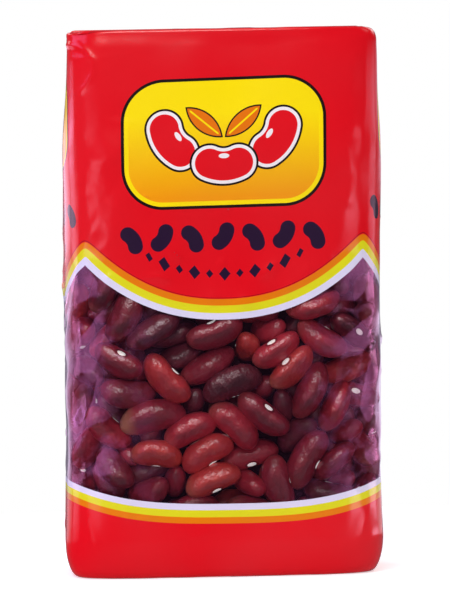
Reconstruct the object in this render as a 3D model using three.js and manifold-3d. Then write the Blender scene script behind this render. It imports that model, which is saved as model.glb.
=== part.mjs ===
// A brick-shaped bag of dried kidney beans, standing on its folded base.
//
// The bag is one tube of printed film, closed at both ends, so it is one solid. The tube fills out to a
// rounded rectangle in plan. Its top is folded shut: the side gussets tuck in under a flat roof, and the
// flattened neck, which ends in a crimped seal, lies back over the rear half of that roof. The base is
// folded flat the same way. A lap seam runs up the middle of the back. Between the two printed fields the
// film is drawn down onto the beans, so it shows them as low relief.
//
// Millimetres, +Z up. The origin is the middle of the footprint, on the surface that the bag stands on.
// The front looks along -Y.

import * as THREE from 'three';
import { mergeVertices } from 'three/addons/utils/BufferGeometryUtils.js';
import Module from 'manifold-3d';

// The filled bag
const WIDTH = 105; // across the front
const DEPTH = 70; // front to back at the fullest level
const ROOF_HEIGHT = 178.4; // base to the folded top edge
const SECTION_POWER = 5; // superellipse power of the plan section: 2 is an ellipse, more is squarer
const ROOF_POWER = 9; // the same at the creased top edge

// How the filled shape departs from a straight prism
const SHOULDER = 130; // level above which the bag draws in
const SHOULDER_INSET_X = 1.5;
const SHOULDER_INSET_Y = 3;
const FULLEST = 62; // level of the greatest depth
const BASE_INSET_Y = 1.4; // how much less deep each face is at the base
const BASE_ROUND = { inset: 4, height: 12 };
const ROOF_ROUND = { inset: 0.8, height: 1.3 };
const ROOF_END_ROUND = { left: { inset: 0.7, height: 1.2 }, right: { inset: 3, height: 4.4 } };
const ROOF_CROWN = 0.7;
const LEAN = 2.1; // how far the top stands to the right of the base
const CENTRING = { x: 0.2, y: -0.35 }; // puts the origin in the middle of the leaning bag, seam included

// Gusset tucked in under the roof, on both sides
const TUCK = { level: 174, halfHeight: 2.4, depth: 4, halfLength: 21 };
const GUSSET_DENT = { depth: 2.2, from: 138, halfLength: 27 };

// Beans that press against the film
const BEAN = { length: 19, width: 9 };
const RELIEF = 1; // how far the film sinks between the beans
const RELIEF_FROM = { none: 14, full: 28 };
const RELIEF_TO = { full: 96, none: 118 };
const BEAN_ROW = 8.6;
const BEAN_PITCH = 17.5; // along a row: a whole number of them go round the bag
const SEED = 7;

// Film seams and seals
const NECK = { length: 28, left: -48.9, right: 48.4, thickness: 1.3, sink: 0.8 };
const CRIMP = { length: 11, ribs: 6, depth: 0.35 };
const SEAM = { width: 9, thickness: 0.7, sink: 1.8, from: 6, to: 172, step: 5.5 };
const BASE_FOLD = { width: 0.9, depth: 0.5, sealHalf: 6.5, length: 76, flapReach: 21 };

// Mesh density
const CELLS = { x: 26, y: 17 };
const LEVEL_BANDS = [
  { to: BASE_ROUND.height, count: 4 },
  { to: RELIEF_FROM.full, count: 4 },
  { to: RELIEF_TO.full, count: 23 },
  { to: SHOULDER, count: 5 },
  { to: TUCK.level - TUCK.halfHeight, count: 4 },
  { to: TUCK.level, count: 1 },
  { to: TUCK.level + TUCK.halfHeight - 0.2, count: 1 },
  { to: ROOF_HEIGHT, count: 3 },
];

const wasm = await Module();
wasm.setup();

function seededRandom(seed) {
  let state = seed;
  return () => {
    state = (state + 0x6d2b79f5) | 0;
    let t = Math.imul(state ^ (state >>> 15), 1 | state);
    t = (t + Math.imul(t ^ (t >>> 7), 61 | t)) ^ t;
    return ((t ^ (t >>> 14)) >>> 0) / 2 ** 32;
  };
}

const { smoothstep, lerp, clamp } = THREE.MathUtils;

// Quarter-ellipse rounding: the inset at a distance from the edge plane, over a band of a given height.
function edgeInset(round, distance) {
  const share = clamp(1 - distance / round.height, 0, 1);
  return round.inset * (1 - Math.sqrt(1 - share * share));
}

// How far the lean carries a level to the right.
function leanAt(z) {
  return LEAN * (z / ROOF_HEIGHT - 0.5);
}

// Half width, half depth and squareness of the plan section at a level. The roof's right end is rounder than
// its left end.
function section(z, end = 'left') {
  const shoulder = clamp((z - SHOULDER) / (ROOF_HEIGHT - SHOULDER), 0, 1) ** 1.5;
  const foot = clamp(1 - z / FULLEST, 0, 1) ** 2;
  const baseInset = edgeInset(BASE_ROUND, z);
  const endInset = edgeInset(ROOF_END_ROUND[end], ROOF_HEIGHT - z);
  const sideInset = edgeInset(ROOF_ROUND, ROOF_HEIGHT - z);
  return {
    halfX: WIDTH / 2 - SHOULDER_INSET_X * shoulder - baseInset - endInset,
    halfY: DEPTH / 2 - SHOULDER_INSET_Y * shoulder - BASE_INSET_Y * foot - baseInset - sideInset,
    power: lerp(SECTION_POWER, ROOF_POWER, shoulder),
  };
}

// Distance round the bag, measured on the box that encloses it, from the middle of the front.
function roundTheBag(x, y) {
  const [halfX, halfY] = [WIDTH / 2, DEPTH / 2];
  if (y <= -halfY + 1e-6) return x;
  if (x >= halfX - 1e-6) return halfX + halfY + y;
  if (y >= halfY - 1e-6) return 2 * halfX + 2 * halfY - x;
  return -halfX - halfY - y;
}

// Beans lie in staggered, jittered rows, each at its own angle.
function layBeans() {
  const random = seededRandom(SEED);
  const girth = 2 * (WIDTH + DEPTH);
  const beans = [];
  for (let row = 0, z = RELIEF_FROM.none; z < RELIEF_TO.none; row++, z += BEAN_ROW) {
    for (let s = (row % 2) * 0.5 * BEAN_PITCH; s < girth - 1; s += BEAN_PITCH) {
      beans.push({
        s: s + (random() - 0.5) * 0.35 * BEAN_PITCH,
        z: z + (random() - 0.5) * 0.4 * BEAN_ROW,
        turn: (random() - 0.5) * 0.9 * Math.PI,
        scale: 0.88 + 0.24 * random(),
      });
    }
  }
  return beans;
}

const BEANS = layBeans();

// How high the nearest bean stands under the film, from 0 between beans to 1 on a bean's crest.
function beanCrest(s, z) {
  const girth = 2 * (WIDTH + DEPTH);
  let crest = 0;
  for (const bean of BEANS) {
    let across = s - bean.s;
    across -= girth * Math.round(across / girth);
    const up = z - bean.z;
    const along = across * Math.cos(bean.turn) + up * Math.sin(bean.turn);
    const off = up * Math.cos(bean.turn) - across * Math.sin(bean.turn);
    const reach =
      (along / (0.5 * BEAN.length * bean.scale)) ** 2 + (off / (0.5 * BEAN.width * bean.scale)) ** 2;
    crest = Math.max(crest, 1 - reach);
  }
  return Math.sqrt(crest);
}

// How far the film lies inside the smooth section, at a distance round the bag and a level.
function filmSink(s, z) {
  const strength =
    smoothstep(z, RELIEF_FROM.none, RELIEF_FROM.full) * (1 - smoothstep(z, RELIEF_TO.full, RELIEF_TO.none));
  return strength > 0 ? RELIEF * strength * (1 - beanCrest(s, z)) : 0;
}

// How far the tucked gusset draws a side face in.
function gussetSink(y, z) {
  const tuck =
    TUCK.depth *
    clamp(1 - Math.abs(z - TUCK.level) / TUCK.halfHeight, 0, 1) *
    clamp(1 - Math.abs(y) / TUCK.halfLength, 0, 1);
  const dent =
    GUSSET_DENT.depth *
    smoothstep(z, GUSSET_DENT.from, TUCK.level) *
    (1 - smoothstep(z, TUCK.level, ROOF_HEIGHT)) *
    (1 - smoothstep(Math.abs(y), 0, GUSSET_DENT.halfLength));
  return tuck + dent;
}

// The levels of the mesh's rings, closer together where the surface has more form.
function ringLevels() {
  const levels = [0];
  for (const band of LEVEL_BANDS) {
    const from = levels.at(-1);
    for (let i = 1; i <= band.count; i++) levels.push(lerp(from, band.to, i / band.count));
  }
  return levels;
}

// The bag's own form: a box whose every vertex is drawn onto the filled shape.
function filledBody() {
  const levels = ringLevels();
  const box = new THREE.BoxGeometry(WIDTH, DEPTH, 1, CELLS.x, CELLS.y, levels.length - 1);
  box.deleteAttribute('normal');
  box.deleteAttribute('uv');
  const geometry = mergeVertices(box);
  const position = geometry.getAttribute('position');
  for (let i = 0; i < position.count; i++) {
    const [x, y] = [position.getX(i), position.getY(i)];
    const level = Math.round((position.getZ(i) + 0.5) * (levels.length - 1));
    const z = levels[level];
    const plan = section(z, x > 0 ? 'right' : 'left');
    const [u, v] = [(2 * x) / WIDTH, (2 * y) / DEPTH];
    const rim = Math.max(Math.abs(u), Math.abs(v)); // 1 on the sides, less inside the roof and the base
    const norm = (Math.abs(u) ** plan.power + Math.abs(v) ** plan.power) ** (1 / plan.power);
    const pull = norm > 0 ? rim / norm : 1;
    const point = new THREE.Vector3(plan.halfX * u * pull, plan.halfY * v * pull, z);
    if (rim > 1 - 1e-6) {
      const sink = filmSink(roundTheBag(x, y), z);
      point.x -= sink * u;
      point.y -= sink * v;
      if (Math.abs(u) > 1 - 1e-6) point.x -= Math.sign(u) * gussetSink(point.y, z);
    }
    if (level === levels.length - 1) point.z += ROOF_CROWN * (1 - u * u) * (1 - v * v);
    position.setXYZ(i, point.x + leanAt(z), point.y, point.z);
  }
  return geometry;
}

function solidOf(geometry) {
  const bare = geometry.index ? geometry.toNonIndexed() : geometry.clone();
  bare.deleteAttribute('normal');
  bare.deleteAttribute('uv');
  const merged = mergeVertices(bare, 1e-4);
  return new wasm.Manifold(
    new wasm.Mesh({
      numProp: 3,
      vertProperties: merged.getAttribute('position').array,
      triVerts: new Uint32Array(merged.index.array),
    }),
  );
}

function geometryOf(solid) {
  const mesh = solid.getMesh();
  const geometry = new THREE.BufferGeometry();
  geometry.setAttribute('position', new THREE.BufferAttribute(mesh.vertProperties, 3));
  geometry.setIndex(new THREE.BufferAttribute(mesh.triVerts, 1));
  geometry.computeVertexNormals();
  return geometry;
}

// The neck, folded back flat on the roof. Its profile starts at the fold, over the middle of the roof, and
// ends in the ribs that the sealing jaws crimp into it.
function foldedNeck() {
  const { length, left, right, thickness, sink } = NECK;
  const fold = 0.5 * thickness;
  const profile = new THREE.Shape();
  profile.moveTo(0, -sink);
  profile.lineTo(0, 0);
  profile.absarc(0, fold, fold, -0.5 * Math.PI, 0.5 * Math.PI, true);
  const ribStart = length - CRIMP.length;
  const pitch = CRIMP.length / CRIMP.ribs;
  profile.lineTo(ribStart, thickness);
  for (let rib = 0; rib < CRIMP.ribs; rib++) {
    const at = ribStart + rib * pitch;
    profile.lineTo(at + 0.3 * pitch, thickness - CRIMP.depth);
    profile.lineTo(at + 0.6 * pitch, thickness - CRIMP.depth);
    profile.lineTo(at + pitch, thickness);
  }
  profile.lineTo(length, -sink);
  profile.closePath();
  const width = right - left;
  const strip = new THREE.ExtrudeGeometry(profile, { depth: width, bevelEnabled: false, curveSegments: 5 });
  // Profile x runs to the back, profile y runs up, and the strip runs across the bag.
  const basis = new THREE.Matrix4().makeBasis(
    new THREE.Vector3(0, 1, 0),
    new THREE.Vector3(0, 0, 1),
    new THREE.Vector3(1, 0, 0),
  );
  return strip.applyMatrix4(basis).translate(left, 0, ROOF_HEIGHT + 0.3);
}

// The lap seam, a thin strip that follows the back from just above the base to the tuck.
function lapSeam() {
  const rings = Math.round((SEAM.to - SEAM.from) / SEAM.step);
  const strip = new THREE.BoxGeometry(SEAM.width, 1, 1, 2, 1, rings);
  const position = strip.getAttribute('position');
  for (let i = 0; i < position.count; i++) {
    const x = position.getX(i);
    const z = SEAM.from + (position.getZ(i) + 0.5) * (SEAM.to - SEAM.from);
    const plan = section(z);
    const surface = plan.halfY * (1 - Math.abs(x / plan.halfX) ** plan.power) ** (1 / plan.power);
    const out = position.getY(i) > 0 ? SEAM.thickness : -SEAM.sink;
    position.setXYZ(i, x + leanAt(z), surface + out, z);
  }
  return strip;
}

// Creases of the folded base: both edges of the seal that lies flat across it, and the four slanting
// edges of the gusset flaps.
function baseCreases() {
  const crease = (length, x, y, turn) =>
    new THREE.BoxGeometry(length, BASE_FOLD.width, 2 * BASE_FOLD.depth)
      .rotateZ(turn)
      .translate(x + leanAt(0), y, 0);
  const creases = [];
  for (const side of [-1, 1]) {
    creases.push(crease(BASE_FOLD.length, 0, side * BASE_FOLD.sealHalf, 0));
    for (const end of [-1, 1]) {
      const run = BASE_FOLD.flapReach - BASE_FOLD.sealHalf;
      const middle = 0.5 * (BASE_FOLD.flapReach + BASE_FOLD.sealHalf);
      const x = end * (0.5 * BASE_FOLD.length - 0.5 * run);
      creases.push(crease(run * Math.SQRT2, x, side * middle, side * end * 0.25 * Math.PI));
    }
  }
  return creases;
}

function bagSolid() {
  let solid = solidOf(filledBody());
  solid = solid.add(solidOf(foldedNeck()));
  solid = solid.add(solidOf(lapSeam()));
  for (const crease of baseCreases()) solid = solid.subtract(solidOf(crease));
  return solid;
}

const film = new THREE.MeshStandardMaterial({ color: 0xe41a24, roughness: 0.35, metalness: 0 });
const bag = new THREE.Mesh(geometryOf(bagSolid()), film);
bag.name = 'bag';
bag.position.set(CENTRING.x, CENTRING.y, 0);

const group = new THREE.Group();
group.add(bag);
export default group;
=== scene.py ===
"""The looks of a brick-shaped bag of dried kidney beans.

The bag is a tube of printed film with a clear band. Its solid is replaced by the film, the beans that lie
against it, their pale eyes, and a dark core behind them.

Lengths are in millimetres until a mesh is made. +Z is up, and the front looks along -Y.
"""

import math

import bpy
import numpy as np
from mathutils import Euler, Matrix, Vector
from mathutils.bvhtree import BVHTree


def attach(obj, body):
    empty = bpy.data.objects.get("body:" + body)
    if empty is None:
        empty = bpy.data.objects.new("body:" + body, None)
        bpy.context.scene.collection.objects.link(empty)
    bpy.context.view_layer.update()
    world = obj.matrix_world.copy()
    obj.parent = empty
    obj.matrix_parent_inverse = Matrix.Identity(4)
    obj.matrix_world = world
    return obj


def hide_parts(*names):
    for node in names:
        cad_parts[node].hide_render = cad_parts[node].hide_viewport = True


MM = 0.001

# The filled bag, as in its solid, but with a crisper edge round the roof
WIDTH = 105.0
DEPTH = 70.0
ROOF_HEIGHT = 178.4
SECTION_POWER = 5.0  # superellipse power of the plan section: 2 is an ellipse, more is squarer
ROOF_POWER = 9.0
SHOULDER = 130.0  # level above which the bag draws in
SHOULDER_INSET_X = 1.5
SHOULDER_INSET_Y = 3.0
FULLEST = 62.0  # level of the greatest depth
BASE_INSET_Y = 1.4
BASE_ROUND = (4.0, 12.0)  # inset and height of the rounding
ROOF_ROUND = (0.5, 0.9)
ROOF_LEFT_ROUND = (0.7, 1.2)
ROOF_RIGHT_ROUND = (3.0, 4.4)
ROOF_CROWN = 0.7
LEAN = 2.1
CENTRING = (0.2, -0.35)
TUCK_LEVEL = 174.0
TUCK_HALF_HEIGHT = 2.4
TUCK_DEPTH = 4.0
TUCK_HALF_LENGTH = 21.0
DENT_DEPTH = 2.2
DENT_FROM = 138.0
DENT_HALF_LENGTH = 27.0

# The neck folded back over the roof, and the lap seam
NECK_LENGTH = 28.0
NECK_ENDS = (-48.9, 48.4)
NECK_THICKNESS = 1.3
NECK_SOLE = -0.5  # level of its underside, sunk into the roof
NECK_LIFT = 0.3
NECK_STEPS = 96
NECK_TAPER = (1.2, 0.25)  # length over which its ends thin out, and share left at the end
CRIMP_LENGTH = 11.0
CRIMP_RIBS = 6
CRIMP_DEPTH = 0.35
SEAM_HALF_WIDTH = 4.5
SEAM_HEIGHT = 0.48  # above the film, between its ribs
SEAM_SINK = 0.3
SEAM_FROM = 6.0
SEAM_TO = 171.0
SEAM_RIB = (0.1, 2.7)  # height and pitch of its fine ribs
SEAM_EDGE = 0.35  # share of its height that is left at its edges

# The film's mesh
FRONT_CELLS = 112
SIDE_CELLS = 72
LEVEL_STEP = 0.9
BASE_RINGS = 15
TUCK_RINGS = 15
ROOF_RINGS = 7
TUCK_MARGIN = 4.0  # the rings of the tuck start this far below it

# The zone where beans are seen or felt through the film
BEANS_FROM = 12.0
BEANS_TO = 126.0
BEAN = (19.0, 9.6, 8.0)  # length, width and thickness
BEAN_BEND = 1.3
BEND_LEVEL = 0.35  # where a bean's axis lies in its bend
BEAN_POWER = 2.8  # bluntness of the ends
BEAN_KINDS = 40
EYE_DENT = (0.35, 2.0, 1.3)  # depth, half length and half width of the hollow round an eye
WALL_GAP = 0.45  # between the film's smooth form and the beans
SHELL = 17.0  # how deep the beans reach behind the film
FILM_CLEARANCE = 0.22

# The print, in millimetres on the front
ARC_LOW = 90.5
ARC_SAG = 0.473  # of the panel's half width
ARC_POWER = 2.25
UPPER_BANDS = (2.1, 2.45, 2.1)  # orange, yellow and pale, below the arc
LOWER_TOP = 24.1
LOWER_RISE = 8.25
LOWER_BANDS = (2.05, 2.3, 2.05)  # pale, yellow and orange, downwards
SKEW = 0.00021  # turn of the print for each millimetre of height above SKEW_FROM
SKEW_FROM = 59.0
BACK_MARK = 100.0  # added to the half width that the back's faces hold, to tell them from the front's

rng = np.random.default_rng(11)


def smoothstep(value, low, high):
    share = np.clip((value - low) / (high - low), 0, 1)
    return share * share * (3 - 2 * share)


def swell(value, start, full, fade, end):
    """0 outside a range and 1 in its middle, with smooth slopes between."""
    return smoothstep(value, start, full) * (1 - smoothstep(value, fade, end))


def unit(vectors):
    return vectors / np.maximum(np.linalg.norm(vectors, axis=-1, keepdims=True), 1e-9)


# The form of the bag


def edge_inset(rounding, distance):
    inset, height = rounding
    share = np.clip(1 - distance / height, 0, 1)
    return inset * (1 - np.sqrt(1 - share**2))


def lean_at(z):
    return LEAN * (z / ROOF_HEIGHT - 0.5)


def section(z, right_end):
    """Half width, half depth and squareness of the plan section at a level."""
    shoulder = np.clip((z - SHOULDER) / (ROOF_HEIGHT - SHOULDER), 0, 1) ** 1.5
    foot = np.clip(1 - z / FULLEST, 0, 1) ** 2
    base = edge_inset(BASE_ROUND, z)
    below = ROOF_HEIGHT - z
    end = np.where(right_end, edge_inset(ROOF_RIGHT_ROUND, below), edge_inset(ROOF_LEFT_ROUND, below))
    half_x = WIDTH / 2 - SHOULDER_INSET_X * shoulder - base - end
    half_y = DEPTH / 2 - SHOULDER_INSET_Y * shoulder - BASE_INSET_Y * foot - base
    half_y = half_y - edge_inset(ROOF_ROUND, below)
    return half_x, half_y, SECTION_POWER + (ROOF_POWER - SECTION_POWER) * shoulder


def drawn_point(u, v, z):
    """The place on the bag of a point of the box from -1 to 1, at a level."""
    half_x, half_y, power = section(z, u > 0)
    rim = np.maximum(np.abs(u), np.abs(v))
    norm = (np.abs(u) ** power + np.abs(v) ** power) ** (1 / power)
    pull = rim / np.maximum(norm, 1e-9)
    x = half_x * u * pull + lean_at(z) + CENTRING[0]
    y = half_y * v * pull + CENTRING[1]
    return np.stack(np.broadcast_arrays(x, y, z), axis=-1)


def gusset_sink(y, z):
    """How far the tucked gusset draws a side panel in."""
    y = np.abs(y - CENTRING[1])
    tuck = np.clip(1 - np.abs(z - TUCK_LEVEL) / TUCK_HALF_HEIGHT, 0, 1)
    tuck = TUCK_DEPTH * tuck * np.clip(1 - y / TUCK_HALF_LENGTH, 0, 1)
    dent = DENT_DEPTH * swell(z, DENT_FROM, TUCK_LEVEL, TUCK_LEVEL, ROOF_HEIGHT)
    return tuck + dent * (1 - smoothstep(y, 0, DENT_HALF_LENGTH))


def even_steps(along, across, count):
    """Box coordinates of evenly spaced points along one side, and their distance from its middle."""
    fine = np.linspace(-1, 1, 4001)
    norm = (np.abs(fine) ** SECTION_POWER + 1) ** (1 / SECTION_POWER)
    line = np.stack([along * fine / norm, across / norm], axis=-1)
    length = np.concatenate([[0], np.cumsum(np.linalg.norm(np.diff(line, axis=0), axis=1))])
    places = np.linspace(0, length[-1], count + 1)
    return np.interp(places, length, fine), places - 0.5 * length[-1]


class Ring:
    """The columns of the film's mesh, in turn along the front, right, back and left panels."""

    def __init__(self):
        self.front_steps, front_at = even_steps(WIDTH / 2, DEPTH / 2, FRONT_CELLS)
        self.side_steps, side_at = even_steps(DEPTH / 2, WIDTH / 2, SIDE_CELLS)
        front, side = self.front_steps[:-1], self.side_steps[:-1]
        one_x, one_y = np.ones(FRONT_CELLS), np.ones(SIDE_CELLS)
        self.u = np.concatenate([front, one_y, -front, -one_y])
        self.v = np.concatenate([-one_x, side, one_x, -side])
        self.count = len(self.u)
        self.panel = np.repeat([0, 1, 2, 3], [FRONT_CELLS, SIDE_CELLS] * 2)
        self.on_side = self.panel % 2 == 1
        # Across each column's own panel, from its middle
        self.at = np.concatenate([front_at[:-1], side_at[:-1]] * 2)
        self.next_at = np.concatenate([front_at[1:], side_at[1:]] * 2)
        self.front_half = front_at[-1]
        self.half = np.where(self.on_side, side_at[-1], self.front_half)
        around, self.girth = [], 0.0
        for places in (front_at, side_at, front_at, side_at):
            around.append(self.girth + places[:-1] - places[0])
            self.girth += places[-1] - places[0]
        self.around = np.concatenate(around)


def film_levels():
    """Levels of the film's rings, closer together where the surface turns."""
    base = BASE_ROUND[1] * (1 - np.cos(np.linspace(0, 0.5 * math.pi, BASE_RINGS)))
    middle = np.arange(BASE_ROUND[1] + LEVEL_STEP, TUCK_LEVEL - TUCK_MARGIN, LEVEL_STEP)
    tuck = np.linspace(TUCK_LEVEL - TUCK_MARGIN, ROOF_HEIGHT - ROOF_ROUND[1], TUCK_RINGS)
    turn = np.linspace(0.5 * math.pi, 0, ROOF_RINGS + 1)[1:]
    return np.concatenate([base, middle, tuck, ROOF_HEIGHT - ROOF_ROUND[1] * (1 - np.cos(turn))])


RING = Ring()
FRONT_HALF = RING.front_half
LEVELS = film_levels()


def closed_waves(draw, girth, heading, length):
    """Turns, rises and phases of waves that close on themselves round the bag."""
    number = 2 * math.pi / length
    turns = np.round(number * np.cos(heading) * girth / (2 * math.pi)) * 2 * math.pi / girth
    return zip(turns, number * np.sin(heading), draw.uniform(0, 2 * math.pi, len(heading)))


def film_waves(around, up, girth, length, seed, count=28):
    """Smooth random waves of about one length."""
    draw = np.random.default_rng(seed)
    heading = draw.uniform(0, math.pi, count)
    total = np.zeros(np.broadcast(around, up).shape)
    for a, b, c in closed_waves(draw, girth, heading, length * draw.uniform(0.7, 1.5, count)):
        total += np.cos(a * around + b * up + c)
    return total * math.sqrt(2 / count)


def film_facets(around, up, girth, length, seed, count=4):
    """Flat facets of about one length, with sharp creases between them."""
    draw = np.random.default_rng(seed)
    heading = math.pi * (np.arange(count) + draw.uniform(0.1, 0.9, count)) / count
    waves = closed_waves(draw, girth, heading, length * draw.uniform(0.75, 1.4, count))
    bend = 0.8 * film_waves(around, up, girth, 2.6 * length, seed + 50)
    total = np.zeros(np.broadcast(around, up).shape)
    for a, b, c in waves:
        total += 2 / math.pi * np.arcsin(np.sin(a * around + b * up + c + bend))
    return total * math.sqrt(3 / count)


# The beans


# Beans that the front shows: across, up, slope of the long axis, length, where the eye points (0 at the
# viewer, 90 to the left of the long axis), how far the right end comes forward, layer, look
FRONT_BEANS = (
    (-22.4, 64.2, -48, 19.8, 72, 0, 0, "bright"),
    (-7.1, 68.6, 29, 20.0, 165, 0, 0.6, "plain"),
    (1.3, 62.6, 21, 20.5, -110, 0, 0, "wrinkled"),
    (-35.0, 60.1, -4, 18.5, 110, -8, 0.4, "dull"),
    (-27.5, 51.5, 11, 22.0, -105, 0, 0, "tan_tip"),
    (-13.3, 47.7, 26, 18.5, -100, 0, 0, "red"),
    (1.4, 48.7, -43, 19.5, -95, 0, 0, "red"),
    (12.5, 53.4, -36, 20.0, 48, 0, 0.3, "plain"),
    (-8.5, 40.1, 29, 18.5, -82, 0, 0, "bright"),
    (-4.5, 32.0, 21, 19.0, -62, 0, 0, "orange"),
    (19.8, 31.8, -76, 18.5, 75, 0, 0, "plain"),
    (30.3, 40.7, 61, 21.0, -72, 0, 0, "plain"),
    (32.8, 59.5, 63, 20.0, 150, 0, 0, "plain"),
    (18.2, 71.1, 32, 17.5, 55, 0, 0, "red"),
    (26.6, 67.0, 44, 18.0, 48, 0, 0.2, "orange"),
    (36.2, 76.3, -33, 18.5, 115, 0, 0, "red"),
    (8.9, 40.1, 14, 19.5, -48, 0, 0.2, "red"),
    (-28.6, 43.1, -6, 17.0, -100, 0, 0.2, "orange"),
    (7.4, 74.8, 80, 16.0, 100, 68, 0.5, "orange"),
    (15.5, 79.9, 5, 15.0, 120, 50, 1, "red"),
    (-17.2, 79.8, 14, 17.5, 170, 0, 1, "dark"),
    (-2.9, 78.6, 19, 19.5, 70, 0, 0.3, "plain"),
    (-15.4, 72.7, 19, 17.0, 165, 0, 1, "dark"),
    (-36.8, 70.5, -31, 17.5, 45, 10, 0.6, "plain"),
    (14.1, 62.2, 40, 16.0, 180, 62, 1, "plain"),
    (21.6, 56.1, 100, 16.0, 180, 60, 1, "dark"),
    (24.0, 47.3, 39, 16.0, -60, 25, 0.8, "dark"),
    (-10.8, 57.5, 70, 16.0, 180, 60, 1.2, "dark"),
    (9.2, 30.8, -30, 16.0, 180, 58, 0.8, "red"),
    (-17.1, 32.8, 80, 15.0, 180, 62, 1, "plain"),
    (-26.3, 28.8, 20, 16.0, 110, 35, 0.5, "plain"),
    (-14.7, 24.9, 10, 17.0, -110, 0, 0.2, "plain"),
    (-26.1, 36.3, 24, 18.5, 170, 0, 1, "dark"),
    (-37.7, 38.7, -55, 17.0, 120, 25, 0.4, "dull"),
    (-42.1, 48.3, -41, 18.0, 100, 0, 0.4, "red"),
    (39.7, 48.7, 20, 15.0, 180, 55, 0.8, "red"),
    (39.5, 38.7, 40, 17.0, 180, 10, 0.3, "plain"),
    (34.6, 30.2, -12, 16.0, 110, 10, 0.8, "dark"),
    (42.4, 56.3, 64, 18.0, 160, 0, 0.4, "red"),
    (-40.3, 83.7, 64, 19.0, 110, 0, 0.3, "dull"),
    (-28.9, 78.3, 30, 20.0, 150, 0, 0.5, "dark"),
    (37.1, 66.3, 20, 18.5, 150, 0, 0.7, "bright"),
    (27.3, 80.3, 52, 18.0, 175, 10, 0.7, "dark"),
    (40.3, 86.6, 12, 18.5, 140, 0, 0.3, "red"),
)
LOOKS = {  # tone, pale tip, wrinkles
    "bright": (0.86, 0.0, 0.1),
    "red": (0.72, 0.25, 0.2),
    "orange": (0.93, 0.5, 0.1),
    "plain": (0.5, 0.1, 0.2),
    "dull": (0.36, 0.0, 0.4),
    "dark": (0.2, 0.0, 0.3),
    "tan_tip": (0.5, 1.0, 0.2),
    "wrinkled": (0.16, 0.0, 1.0),
}
FRONT_LAYER_STEP = 5.0  # how much deeper each layer of the front's beans lies

# The other beans, in two layers by a seeded rule
LAYER_AREAS = (138.0, 140.0)  # area of the wall for each bean of the layer
FIRST_INSET = 4.6
LAYER_STEP = 6.6
END_MARGIN = 4.0  # free of bean centres at both ends of the zone
TURN_OF_BEANS = 0.61803399  # the golden section spreads them evenly round the bag
EYE_TURNS = (0, 90, -90, 180)
EYE_CHANCES = (0.14, 0.33, 0.33, 0.2)
FLAT_CHANCE = 0.86  # share of the beans that lie nearly flat on the wall
LAYER_TURN = 0.13  # turn of each layer against the one before, as a share of the girth
# Mean and spread of what is drawn for each bean
SCALES, SLOPES, EYE_OFFSETS = (1.0, 0.06), (12, 48), (0, 22)
FLAT_TILTS, TONES, TIPS = (0, 12), (0.52, 0.2), (0.1, 0.25)
STEEP_TILTS = (40, 75)  # least and most
FRONT_ZONE = (47, 22, 92)  # half width and levels where the front's own beans lie

# Settling
BALL_STATIONS = np.array([-0.66, -0.35, 0.0, 0.35, 0.66])  # along a bean, from -1 to 1
BALL_SHARE = 0.99
SETTLE_STEPS = 260
PAIR_STEPS = 6  # steps between two searches for beans near each other
HOLD = 0.22  # how strongly the front's beans are drawn to their places at first
HOLD_DEPTH = 0.35  # share of it that acts front to back
STIFFNESS = 60
HELD_STIFFNESS = 120


def bean_axis(u):
    """How far a bean's bent middle line lies towards the eye."""
    return BEAN_BEND * (u**2 - BEND_LEVEL)


class Beans:
    """Rigid beans, each a bent row of balls while they are settled."""

    def __init__(self, rows):
        columns = [np.array(column, float) for column in zip(*rows)]
        # Rows of axes: the long axis, towards the eye, and across the flat side
        self.place, self.axes, self.size, self.look, self.held, self.detail = columns
        share = np.sqrt(1 - np.abs(BALL_STATIONS) ** BEAN_POWER)
        self.radius = 0.25 * (self.size[:, 1] + self.size[:, 2])[:, None] * share * BALL_SHARE
        self.balls = np.zeros((len(rows), len(BALL_STATIONS), 3))
        self.balls[:, :, 0] = 0.5 * self.size[:, :1] * BALL_STATIONS
        self.balls[:, :, 1] = bean_axis(BALL_STATIONS)

    def placed(self, points, chosen=slice(None)):
        """Points given along the beans' own axes, at their places in the bag."""
        return self.place[chosen, None] + np.einsum("nsi,nij->nsj", points, self.axes[chosen])


def bean_axes(outward, along, slope, eye, forward):
    """Axes of a bean on a wall: its slope in the wall, where its eye points, and its tilt off the wall."""
    slope, eye, forward = (math.radians(angle) for angle in (slope, eye, forward))
    up = np.array([0.0, 0.0, 1.0])
    flat = math.cos(slope) * along + math.sin(slope) * up
    side = -math.sin(slope) * along + math.cos(slope) * up
    long_axis = math.cos(forward) * flat + math.sin(forward) * outward
    facing = math.cos(forward) * outward - math.sin(forward) * flat
    eye_axis = math.cos(eye) * facing + math.sin(eye) * side
    return np.stack([long_axis, eye_axis, np.cross(long_axis, eye_axis)])


def wall_frame(at):
    """Point of the fullest section at a distance round the bag, with its outward and along directions."""
    index = int(np.searchsorted(RING.around, at % RING.girth)) % RING.count
    ahead = (index + 1) % RING.count
    here = drawn_point(RING.u[index], RING.v[index], FULLEST)
    along = unit(drawn_point(RING.u[ahead], RING.v[ahead], FULLEST) - here)
    return here, np.array([along[1], -along[0], 0.0]), along


def front_bean(x, z, slope, length, eye, forward, layer, look):
    """One of the listed beans behind the front."""
    outward, along = np.array([0.0, -1.0, 0.0]), np.array([1.0, 0.0, 0.0])
    size = np.array(BEAN) * np.power(length / BEAN[0], [1, 0.5, 0.5])
    depth = WALL_GAP + 0.5 * size[2] + FRONT_LAYER_STEP * layer
    place = (x, -DEPTH / 2 + CENTRING[1] + depth, z)
    detail = 3 if look == "wrinkled" else 2
    return place, bean_axes(outward, along, slope, eye, forward), size, LOOKS[look], 1.0, detail


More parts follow.
